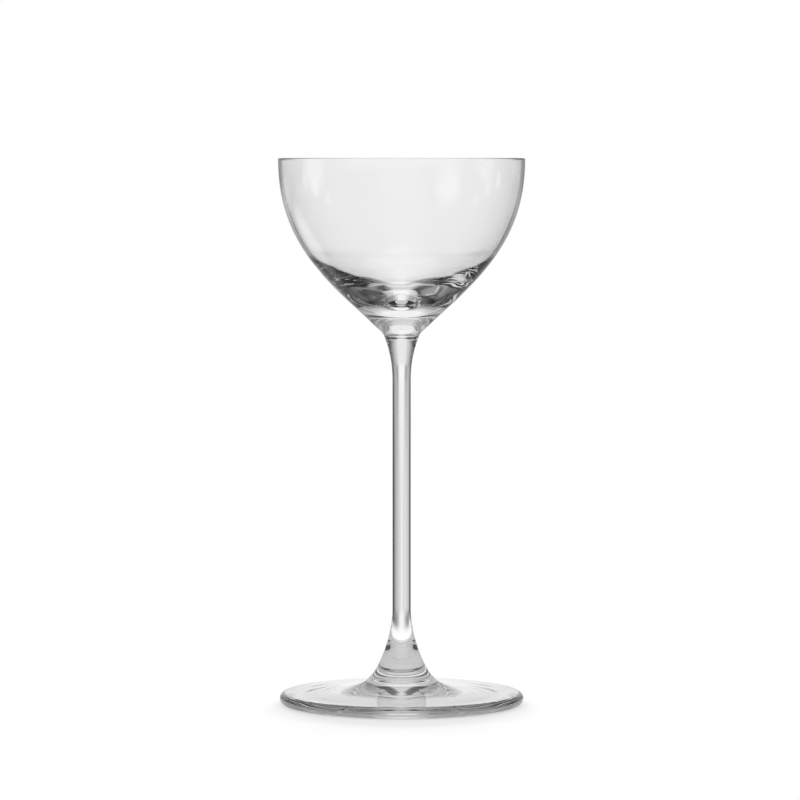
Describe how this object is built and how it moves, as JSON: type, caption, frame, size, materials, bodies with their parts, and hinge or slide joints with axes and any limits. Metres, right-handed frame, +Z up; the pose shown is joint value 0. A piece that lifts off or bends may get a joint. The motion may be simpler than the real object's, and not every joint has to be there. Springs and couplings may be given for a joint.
{
  "type": "nick and nora glass",
  "caption": "Small clear stemmed cocktail glass: a rounded cup with a thick solid base, on a slender stem flared at both ends and a flat round foot.",
  "frame": {"origin": "on the table plane under the middle of the foot, on the axis of the glass", "axes": "+Z up along the axis of the glass, from the foot to the rim; X and Y are any two square directions, because the glass is round"},
  "size_m": [0.0768, 0.0768, 0.17],
  "materials": {
    "clear_glass": "clear, smooth and fire-polished"
  },
  "bodies": {
    "root": {"bowl": "clear_glass", "stem": "clear_glass", "foot": "clear_glass"}
  },
  "joints": []
}
